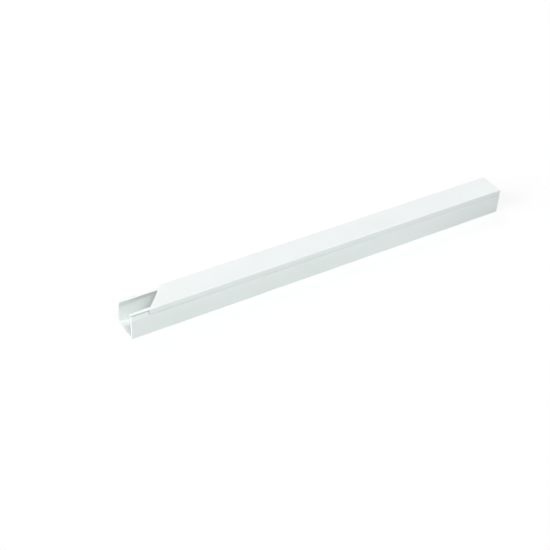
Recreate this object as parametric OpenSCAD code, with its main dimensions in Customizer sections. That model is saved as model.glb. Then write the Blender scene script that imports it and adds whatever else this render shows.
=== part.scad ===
// Square PVC cable trunking: an open channel with a clip-on lid.
// X runs along the duct, Y across it, Z up from the back (the face that goes against the wall).
// The origin is the centre of the back face.

/* [Duct] */
// Length of the channel
duct_length = 388; // [120:1:2000]
// Outside width of the channel and of the lid
duct_width = 25; // [18:0.5:60]
// Outside height with the lid on
duct_height = 25; // [16:0.5:60]
// Thickness of the channel's side walls and of the leaning webs above them
wall_t = 1.5; // [1:0.1:2]
// Thickness of the channel's floor
floor_t = 1.5; // [1:0.1:2.5]

/* [Lid] */
// Thickness of the lid's plate
plate_t = 1.1; // [0.8:0.1:1.8]
// Thickness of the lid's skirts
skirt_t = 1.1; // [0.8:0.1:1.3]
// Height of the lid from its top to the lower edge of its skirts
lid_height = 5.1; // [4.5:0.1:6]
// Distance from the channel's near end to the tip of the lid's mitred end
lid_setback = 16; // [0:0.5:60]
// Angle of the lid's mitred end, 0 for a square cut
mitre_angle = 43; // [0:1:60]

/* [Snap lock] */
// Gap between the channel and the lid, wherever they face each other
lid_clear = 0.2; // [0.15:0.05:0.3]
// Height of the open seam between the wall's shoulder and the skirt
seam_gap = 1.3; // [0.9:0.1:1.8]
// Thickness of the lips along the top of the channel
lip_t = 0.5; // [0.4:0.1:0.9]
// Height of the groove under each lip, which the lid's barb hooks into
groove_h = 1.5; // [1.3:0.1:1.8]
// Rise of the groove's floor towards the neck
groove_rise = 0.4; // [0.2:0.1:0.6]
// Thickness of the neck between the groove and the inside of the channel
neck_t = 0.85; // [0.8:0.05:1.1]
// How far the webs lean inwards, from upright
web_lean = 27; // [22:1:35]

/* [Roundings] */
// Radius along the lid's outer edges
lid_edge_r = 0.4; // [0.2:0.1:1.2]
// Radius along the wall's shoulders and bends
shoulder_r = 0.8; // [0.2:0.1:1.2]
// Radius along the outer edges of the back
back_edge_r = 0.5; // [0.1:0.1:1]
// Radius along the edges of lips, barbs and skirts
small_r = 0.2; // [0.05:0.05:0.25]
// Flat faces that make up each rounding
arc_steps = 6; // [2:1:12]

/* [Hidden] */
half_w = duct_width / 2;
beyond = 1; // overrun of a cutting shape past the faces that it cuts

// Heights of the snap lock, from the lid's top downwards
plate_under_z = duct_height - plate_t;
lip_top_z = plate_under_z - lid_clear;
lip_under_z = lip_top_z - lip_t;
barb_top_z = lip_under_z - lid_clear;
skirt_foot_z = duct_height - lid_height;
shoulder_z = skirt_foot_z - seam_gap;
inner_bend_z = shoulder_z - wall_t * tan(web_lean / 2);
groove_foot_z = lip_under_z - groove_h;
groove_back_z = groove_foot_z + groove_rise;

// Depth of the lips' outer edge, inwards from the duct's outer face
lip_in = skirt_t + lid_clear;

// Unit vector along v
function unit(v) = v / norm(v);

// Points of the arc of radius r that rounds corner p between its neighbours a and b
function corner_arc(a, p, b, r) =
    let (
        u = unit(a - p),
        v = unit(b - p),
        half_angle = acos(u * v) / 2,
        centre = p + unit(u + v) * r / sin(half_angle),
        start = p + u * r / tan(half_angle) - centre,
        from = atan2(start.y, start.x),
        sweep = sign(cross(p - a, b - p)) * (180 - 2 * half_angle)
    )
    [for (i = [0:arc_steps]) centre + r * [cos(from + sweep * i / arc_steps),
                                           sin(from + sweep * i / arc_steps)]];

// Closed outline through corners given as [point, radius], each one rounded
function rounded(corners) =
    let (n = len(corners))
    [for (i = [0:n - 1])
        each corner_arc(corners[(i + n - 1) % n][0], corners[i][0],
                        corners[(i + 1) % n][0], corners[i][1])];

// Corners of one side, each [depth inwards from the outer face, height, radius],
// followed by the same corners of the other side
function both_sides(side) =
    let (n = len(side))
    [for (c = side) [[half_w - c[0], c[1]], c[2]],
     for (i = [1:n]) [[side[n - i][0] - half_w, side[n - i][1]], side[n - i][2]]];

// Depth at height z of the web's outer face, which leans inwards from the shoulder
function web_in(z) = (z - shoulder_z) * tan(web_lean);

// Depth at height z of the web's inner face
function web_inner(z) = wall_t + (z - inner_bend_z) * tan(web_lean);

// Depth at height z of the neck's outer face, the back of the groove
function neck_outer(z) = web_inner(z) - neck_t / cos(web_lean);

// Depth at height z of the barb's lead-in face, one clearance outside the web
function lead_in(z) = web_in(z) - lid_clear / cos(web_lean);

// A section in Y and Z, drawn along X between two places
module extrude_along_x(from_x, to_x) {
    translate([from_x, 0, 0])
        rotate([90, 0, 90])
            linear_extrude(height = to_x - from_x)
                children();
}

// Floor, walls, leaning webs, and the lips and grooves that the lid catches on, as one outline
module channel_section() {
    polygon(rounded(both_sides([
        [0, 0, back_edge_r],
        [0, shoulder_z, shoulder_r],
        [web_in(groove_foot_z), groove_foot_z, small_r],
        [neck_outer(groove_back_z), groove_back_z, small_r],
        [neck_outer(lip_under_z), lip_under_z, small_r / 2],
        [lip_in, lip_under_z, small_r / 2],
        [lip_in, lip_top_z, small_r],
        [web_inner(lip_top_z), lip_top_z, small_r],
        [wall_t, inner_bend_z, shoulder_r],
        [wall_t, floor_t, back_edge_r]
    ])));
}

// Plate and skirts, each skirt with a barb that hooks under a lip, as one outline
module lid_section() {
    polygon(rounded(both_sides([
        [0, duct_height, lid_edge_r],
        [0, skirt_foot_z, small_r / 2],
        [lead_in(skirt_foot_z), skirt_foot_z, small_r / 2],
        [lead_in(barb_top_z), barb_top_z, small_r],
        [skirt_t, barb_top_z, small_r],
        [skirt_t, plate_under_z, small_r]
    ])));
}

// What the mitre saw takes off the lid's near end, seen from above
module mitre_waste() {
    near_x = -duct_length / 2;
    tip_x = near_x + lid_setback;
    reach = half_w + beyond;
    translate([0, 0, -beyond])
        linear_extrude(height = duct_height + 2 * beyond)
            polygon([
                [near_x - beyond, -reach],
                [tip_x - beyond * tan(mitre_angle), -reach],
                [tip_x + (duct_width + beyond) * tan(mitre_angle), reach],
                [near_x - beyond, reach]
            ]);
}

module channel() {
    color([0.88, 0.91, 0.9])
        extrude_along_x(-duct_length / 2, duct_length / 2)
            channel_section();
}

module lid() {
    color([0.95, 0.96, 0.96])
        difference() {
            extrude_along_x(-duct_length / 2, duct_length / 2)
                lid_section();
            mitre_waste();
        }
}

channel();
lid();
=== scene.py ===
"""Looks of the cable trunking: finish of the two extrusions, studio, light and camera."""

import math

import bpy
from mathutils import Matrix, Vector


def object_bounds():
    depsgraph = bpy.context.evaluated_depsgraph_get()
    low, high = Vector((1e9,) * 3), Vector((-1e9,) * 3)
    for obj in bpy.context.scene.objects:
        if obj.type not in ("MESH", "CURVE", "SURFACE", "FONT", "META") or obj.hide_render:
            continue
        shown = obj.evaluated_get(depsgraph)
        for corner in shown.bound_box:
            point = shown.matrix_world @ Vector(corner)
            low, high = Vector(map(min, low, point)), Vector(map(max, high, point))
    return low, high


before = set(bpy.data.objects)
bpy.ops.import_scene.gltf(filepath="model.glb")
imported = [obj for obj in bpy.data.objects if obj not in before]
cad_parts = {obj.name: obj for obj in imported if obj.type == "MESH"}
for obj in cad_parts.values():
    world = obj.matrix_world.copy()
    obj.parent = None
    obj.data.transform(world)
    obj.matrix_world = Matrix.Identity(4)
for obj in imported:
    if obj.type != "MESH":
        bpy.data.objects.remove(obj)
cad_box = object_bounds()

# Camera: the object's origin lies this far right of, above and in front of the camera, along
# the camera's own axes.
VIEW_AZIMUTH = math.radians(-34.801)
VIEW_ELEVATION = math.radians(37.511)
VIEW_ROLL = math.radians(3.911)
ORIGIN_RIGHT = 0.04101
ORIGIN_UP = 0.01073
ORIGIN_AHEAD = 1.0685
LENS_MM = 78.62
SENSOR_MM = 36.0
NEAREST_SEEN = 0.01
FARTHEST_SEEN = 50.0

# Colours, in linear light: the extruded skin, its duller patches, and the sawn ends.
PVC_SKIN = (0.91, 0.945, 0.92, 1.0)
PVC_PATCH_SHARE = 0.985
PVC_CUT = (0.93, 0.945, 0.945, 1.0)
WHITE = (1.0, 1.0, 1.0, 1.0)

# Painted shade: a darker colour standing in for the shade in seams and grooves, where other surfaces
# lie within this reach. It is full where less of the sky is open than the first share, and gone above
# the second.
PAINTED_CREASE_SHADE = (0.48, 0.51, 0.5, 1.0)
CREASE_REACH = 0.0015
PAINTED_SHADE_SKY = (0.35, 0.85)

# A face starts to look sawn where its normal's share along X passes the first of these, and is
# wholly sawn at the second.
SAWN_SHARES = (0.4, 0.6)

# Noise of the finish: its scale per metre, and its scale along each axis as a share of that, so
# that a small share draws it out. A noise runs from about 0.3 to 0.7.
NOISE_SPAN = (0.3, 0.7)
TWO_NOISES_SPAN = (0.7, 1.3)
CLOUD_SCALE = 60.0
CLOUD_STRETCH = (0.35, 1.0, 1.0)
DIE_LINE_SCALE = 1800.0
DIE_LINE_STRETCH = (0.006, 1.0, 1.0)
GRAIN_SCALE = 2600.0
SAW_MARK_SCALE = 2600.0
SAW_MARK_STRETCH = (1.0, 1.0, 0.08)

# Finish: roughness, depth of the relief in metres and its strength, and how much of the light
# sinks into the plastic and how deep.
SKIN_ROUGHNESS = (0.36, 0.46)
CUT_ROUGHNESS = 0.72
RELIEF_DEPTH = 0.00006
RELIEF_STRENGTH = 0.12
GRAIN_DEPTH = 0.00003
GRAIN_STRENGTH = 0.1
PVC_IOR = 1.53
SINKING_SHARE = 0.7
SINKING_DEPTH = 0.0006
LID_SEED = 3.7

# Bends softer than this are shaded smooth.
SMOOTH_BELOW = math.radians(32)
WELD_WITHIN = 1e-6

# The lamps: where each one shines from, and its colour. The length is its share of the light
# that makes a white surface white.
LAMPS = {
    "key": (Vector((-0.086, -0.087, 0.083)), (0.91, 1.0, 0.99)),
    "front": (Vector((0.0, -0.256, 0.446)), (0.915, 1.0, 0.985)),
    "end": (Vector((-0.48, 0.0, 0.2)), (1.05, 1.0, 1.04)),
    "back": (Vector((0.0, 0.218, 0.225)), (1.06, 1.0, 1.03)),
}
LAMP_SPREAD = math.radians(40)

# The floor lies this far under the back face.
FLOOR_GAP = 0.00002
FLOOR_SIZE = 8.0
# It throws back this share of its light on the object, and less past the object's far end,
# dimming between these two places along X.
FLOOR_BOUNCE = 0.85
FLOOR_FAR_BOUNCE = 0.62
FLOOR_DIMS_FROM = 0.08
FLOOR_DIMS_TO = 0.2
# It also glows, by this share of what it throws back, and so lights the object from below.
FLOOR_GLOW = 0.11
# The share of the light and shadow on the floor that is seen, the rest being plain white.
FLOOR_SHOWN = 0.35


# ---------------------------------------------------------------- node helpers


def new_material(name):
    """An empty node material, its node tree and its output node."""
    material = bpy.data.materials.new(name)
    material.use_nodes = True
    tree = material.node_tree
    tree.nodes.clear()
    return material, tree, tree.nodes.new("ShaderNodeOutputMaterial")


def add_node(tree, kind, inputs=None, **settings):
    """A node with its settings, and its inputs set to values or linked to sockets."""
    node = tree.nodes.new(kind)
    for key, value in settings.items():
        setattr(node, key, value)
    for key, value in (inputs or {}).items():
        connect(tree, node.inputs[key], value)
    return node


def connect(tree, socket, value):
    """Links the socket to value if that is a socket too, and otherwise sets it."""
    if isinstance(value, bpy.types.NodeSocket):
        tree.links.new(value, socket)
    else:
        socket.default_value = value


def math_node(tree, operation, *values):
    """The result of one math operation."""
    node = add_node(tree, "ShaderNodeMath", dict(enumerate(values)), operation=operation)
    return node.outputs[0]


def remap(tree, value, from_low, from_high, to_low, to_high):
    """value carried from one range to another, clamped."""
    inputs = {
        "Value": value,
        "From Min": from_low,
        "From Max": from_high,
        "To Min": to_low,
        "To Max": to_high,
    }
    return add_node(tree, "ShaderNodeMapRange", inputs).outputs["Result"]


def noise(tree, vector, scale, detail, roughness=0.5):
    """A noise value over a vector."""
    inputs = {"Vector": vector, "Scale": scale, "Detail": detail, "Roughness": roughness}
    return add_node(tree, "ShaderNodeTexNoise", inputs).outputs["Fac"]


def stretched(tree, vector, scale):
    """The vector with each axis scaled."""
    return add_node(tree, "ShaderNodeMapping", {"Vector": vector, "Scale": scale}).outputs["Vector"]


def shifted(tree, vector, shift):
    """The vector moved by the same distance along each axis."""
    inputs = {"Vector": vector, "Location": (shift, shift, shift)}
    return add_node(tree, "ShaderNodeMapping", inputs).outputs["Vector"]


def split(tree, vector, axis):
    """One coordinate of a vector."""
    return add_node(tree, "ShaderNodeSeparateXYZ", {"Vector": vector}).outputs[axis]


def mix_value(tree, share, first, second):
    """first where share is 0, second where it is 1."""
    return add_node(tree, "ShaderNodeMix", {0: share, 2: first, 3: second}).outputs[0]


def mix_colour(tree, share, first, second):
    """The same for two colours."""
    inputs = {0: share, 6: first, 7: second}
    return add_node(tree, "ShaderNodeMix", inputs, data_type="RGBA").outputs[2]


def seen_directly(tree):
    """1 for camera, glossy and transmission rays, otherwise 0."""
    path = add_node(tree, "ShaderNodeLightPath")
    either = math_node(tree, "MAXIMUM", path.outputs["Is Camera Ray"], path.outputs["Is Glossy Ray"])
    return math_node(tree, "MAXIMUM", either, path.outputs["Is Transmission Ray"])


# ------------------------------------------------------------------- materials


def with_painted_crease_shade(tree, colour, height):
    """The colour darkened by painted shade in the seams and grooves, but not where the duct meets the
    floor.
    """
    occlusion = add_node(tree, "ShaderNodeAmbientOcclusion", {"Distance": CREASE_REACH})
    # painted shade: the less sky is open nearby, the darker the colour
    painted_shade = remap(tree, occlusion.outputs["AO"], *PAINTED_SHADE_SKY, 1.0, 0.0)
    off_the_floor = remap(tree, height, CREASE_REACH, 2.0 * CREASE_REACH, 0.0, 1.0)
    painted_shade = math_node(tree, "MULTIPLY", painted_shade, off_the_floor)
    return mix_colour(tree, painted_shade, colour, PAINTED_CREASE_SHADE)


def with_relief(tree, lines, grain):
    """The normal over the lines' relief, with the finer grain on top."""
    inputs = {"Strength": RELIEF_STRENGTH, "Distance": RELIEF_DEPTH, "Height": lines}
    normal = add_node(tree, "ShaderNodeBump", inputs).outputs["Normal"]
    inputs = {"Strength": GRAIN_STRENGTH, "Distance": GRAIN_DEPTH, "Height": grain, "Normal": normal}
    return add_node(tree, "ShaderNodeBump", inputs).outputs["Normal"]


def extruded_pvc(name, seed):
    """Satin rigid PVC: die lines run along X, and the sawn ends are paler and duller."""
    material, tree, output = new_material(name)
    here = add_node(tree, "ShaderNodeTexCoord").outputs["Object"]
    place = shifted(tree, here, seed)
    along_x = split(tree, add_node(tree, "ShaderNodeNewGeometry").outputs["Normal"], "X")
    sawn = remap(tree, math_node(tree, "ABSOLUTE", along_x), *SAWN_SHARES, 0.0, 1.0)

    clouds = noise(tree, stretched(tree, place, CLOUD_STRETCH), CLOUD_SCALE, detail=4.0)
    die_lines = noise(
        tree, stretched(tree, place, DIE_LINE_STRETCH), DIE_LINE_SCALE, detail=2.0, roughness=0.6
    )
    grain = noise(tree, place, GRAIN_SCALE, detail=2.0)
    saw_marks = noise(
        tree, stretched(tree, place, SAW_MARK_STRETCH), SAW_MARK_SCALE, detail=3.0, roughness=0.6
    )

    patch = tuple(part * PVC_PATCH_SHARE for part in PVC_SKIN[:3]) + (1.0,)
    skin = mix_colour(tree, remap(tree, clouds, *NOISE_SPAN, 0.0, 1.0), patch, PVC_SKIN)
    # painted shade darkens the colour in the seams and grooves
    colour = with_painted_crease_shade(tree, mix_colour(tree, sawn, skin, PVC_CUT), split(tree, here, "Z"))
    uneven = math_node(tree, "ADD", clouds, die_lines)
    rough_skin = remap(tree, uneven, *TWO_NOISES_SPAN, *SKIN_ROUGHNESS)

    shader = add_node(
        tree,
        "ShaderNodeBsdfPrincipled",
        {
            "Base Color": colour,
            "Roughness": mix_value(tree, sawn, rough_skin, CUT_ROUGHNESS),
            "IOR": PVC_IOR,
            "Normal": with_relief(tree, mix_value(tree, sawn, die_lines, saw_marks), grain),
            "Subsurface Weight": SINKING_SHARE,
            "Subsurface Radius": (1.0, 1.0, 1.0),
            "Subsurface Scale": SINKING_DEPTH,
        },
    )
    tree.links.new(shader.outputs[0], output.inputs["Surface"])
    return material


def light_on_floor():
    """Red, green and blue light that the lamps give an open floor."""
    return [sum(towards.z * colour[i] for towards, colour in LAMPS.values()) for i in range(3)]


def floor_material():
    """White where it is looked at, and greyer where it lights the object from below."""
    material, tree, output = new_material("studio_floor")
    looked_at = seen_directly(tree)
    along = split(tree, add_node(tree, "ShaderNodeNewGeometry").outputs["Position"], "X")
    thrown_back = remap(
        tree, along, FLOOR_DIMS_FROM, FLOOR_DIMS_TO, FLOOR_BOUNCE, FLOOR_FAR_BOUNCE
    )
    share = mix_value(tree, looked_at, thrown_back, FLOOR_SHOWN)
    diffuse = add_node(tree, "ShaderNodeBsdfDiffuse", {"Color": share})

    # What the lamps leave missing from white, where the floor is looked at.
    missing = [1.0 - FLOOR_SHOWN * light for light in light_on_floor()]
    from_below = math_node(tree, "MULTIPLY", thrown_back, FLOOR_GLOW)
    glow = add_node(
        tree,
        "ShaderNodeEmission",
        {
            "Color": mix_colour(tree, looked_at, WHITE, (*missing, 1.0)),
            "Strength": mix_value(tree, looked_at, from_below, 1.0),
        },
    )
    both = add_node(tree, "ShaderNodeAddShader", {0: diffuse.outputs[0], 1: glow.outputs[0]})
    tree.links.new(both.outputs[0], output.inputs["Surface"])
    return material


# --------------------------------------------------------------------- objects


def smoothing_group():
    """Geometry nodes that weld split corners and shade the soft bends smooth."""
    group = bpy.data.node_groups.new("soft_roundings", "GeometryNodeTree")
    for direction in ("INPUT", "OUTPUT"):
        group.interface.new_socket("Geometry", in_out=direction, socket_type="NodeSocketGeometry")
    source = group.nodes.new("NodeGroupInput")
    result = group.nodes.new("NodeGroupOutput")
    welded = add_node(
        group, "GeometryNodeMergeByDistance", {"Geometry": source.outputs[0], "Distance": WELD_WITHIN}
    )
    faces = add_node(
        group,
        "GeometryNodeSetShadeSmooth",
        {"Geometry": welded.outputs[0], "Shade Smooth": True},
        domain="FACE",
    )
    bend = add_node(group, "GeometryNodeInputMeshEdgeAngle").outputs["Unsigned Angle"]
    soft = add_node(
        group,
        "FunctionNodeCompare",
        {0: bend, 1: SMOOTH_BELOW},
        data_type="FLOAT",
        operation="LESS_THAN",
    )
    edges = add_node(
        group,
        "GeometryNodeSetShadeSmooth",
        {"Geometry": faces.outputs[0], "Shade Smooth": soft.outputs[0]},
        domain="EDGE",
    )
    group.links.new(edges.outputs[0], result.inputs[0])
    return group


def dress(node, material, smoothing):
    """Gives a CAD node its material and its smooth roundings."""
    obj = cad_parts[node]
    obj.data.materials.clear()
    obj.data.materials.append(material)
    modifier = obj.modifiers.new("soft_roundings", "NODES")
    modifier.node_group = smoothing


def studio_floor():
    """A plain floor just under the back face."""
    height = cad_box[0].z - FLOOR_GAP
    bpy.ops.mesh.primitive_plane_add(size=FLOOR_SIZE, location=(0.0, 0.0, height))
    floor = bpy.context.object
    floor.name = "studio_floor"
    floor.data.materials.append(floor_material())


# ---------------------------------------------------------- light and camera


def far_lamp(name, towards, colour):
    """A soft lamp far away. Its direction is towards, whose length is the light it gives."""
    data = bpy.data.lights.new(name, "SUN")
    data.color = colour
    data.energy = math.pi * towards.length
    data.angle = LAMP_SPREAD
    lamp = bpy.data.objects.new(name, data)
    lamp.rotation_euler = towards.to_track_quat("Z", "Y").to_euler()
    bpy.context.scene.collection.objects.link(lamp)


def make_world():
    """Plain white where it is looked at or mirrored, and otherwise dark."""
    world = bpy.data.worlds.new("studio")
    bpy.context.scene.world = world
    world.use_nodes = True
    tree = world.node_tree
    tree.nodes.clear()
    output = tree.nodes.new("ShaderNodeOutputWorld")
    dark = add_node(tree, "ShaderNodeBackground", {"Strength": 0.0})
    white = add_node(tree, "ShaderNodeBackground", {"Color": WHITE, "Strength": 1.0})
    mixed = add_node(
        tree, "ShaderNodeMixShader", {0: seen_directly(tree), 1: dark.outputs[0], 2: white.outputs[0]}
    )
    tree.links.new(mixed.outputs[0], output.inputs["Surface"])


def make_camera():
    """The camera, turned and placed so that the object's origin falls where it should."""
    forward = Vector(
        (
            -math.sin(VIEW_AZIMUTH) * math.cos(VIEW_ELEVATION),
            math.cos(VIEW_AZIMUTH) * math.cos(VIEW_ELEVATION),
            -math.sin(VIEW_ELEVATION),
        )
    )
    level_right = Vector((math.cos(VIEW_AZIMUTH), math.sin(VIEW_AZIMUTH), 0.0))
    level_up = level_right.cross(forward)
    right = level_right * math.cos(VIEW_ROLL) + level_up * math.sin(VIEW_ROLL)
    up = level_up * math.cos(VIEW_ROLL) - level_right * math.sin(VIEW_ROLL)
    place = -(right * ORIGIN_RIGHT + up * ORIGIN_UP + forward * ORIGIN_AHEAD)
    turn = Matrix((right, up, -forward)).transposed().to_4x4()
    data = bpy.data.cameras.new("photo_camera")
    data.sensor_width = SENSOR_MM
    data.lens = LENS_MM
    data.clip_start = NEAREST_SEEN
    data.clip_end = FARTHEST_SEEN
    camera = bpy.data.objects.new("photo_camera", data)
    camera.matrix_world = Matrix.Translation(place) @ turn
    bpy.context.scene.collection.objects.link(camera)
    bpy.context.scene.camera = camera


smoothing = smoothing_group()
dress("channel", extruded_pvc("channel_pvc", 0.0), smoothing)
dress("lid", extruded_pvc("lid_pvc", LID_SEED), smoothing)
studio_floor()
make_world()
for lamp_name, (lamp_towards, lamp_colour) in LAMPS.items():
    far_lamp(lamp_name, lamp_towards, lamp_colour)
make_camera()

bpy.context.scene.view_settings.view_transform = "Standard"
